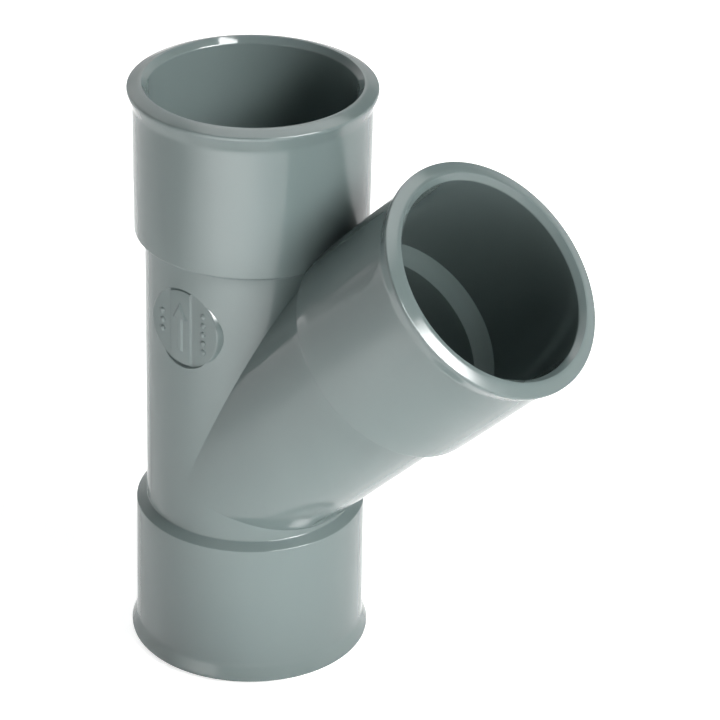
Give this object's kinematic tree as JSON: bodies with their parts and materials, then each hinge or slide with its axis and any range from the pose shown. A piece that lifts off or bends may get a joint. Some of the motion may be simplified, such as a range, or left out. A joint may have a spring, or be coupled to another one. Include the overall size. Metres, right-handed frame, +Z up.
{
  "type": "lateral wye fitting",
  "caption": "Moulded plastic pipe fitting that joins a slanted branch to a straight run, with a solvent-weld socket at each mouth and a round marking pad on the side.",
  "frame": {"origin": "on the run's axis, in the plane of the lower mouth, which the fitting stands on", "axes": "+Z up the run towards its upper mouth; the branch leans towards +X in the XZ plane; the marking pad faces -Y"},
  "size_m": [0.098, 0.0478, 0.121],
  "materials": {
    "fitting_plastic": "smooth moulded grey plastic with a soft gloss"
  },
  "bodies": {
    "root": {"wye_body": "fitting_plastic"}
  },
  "joints": []
}
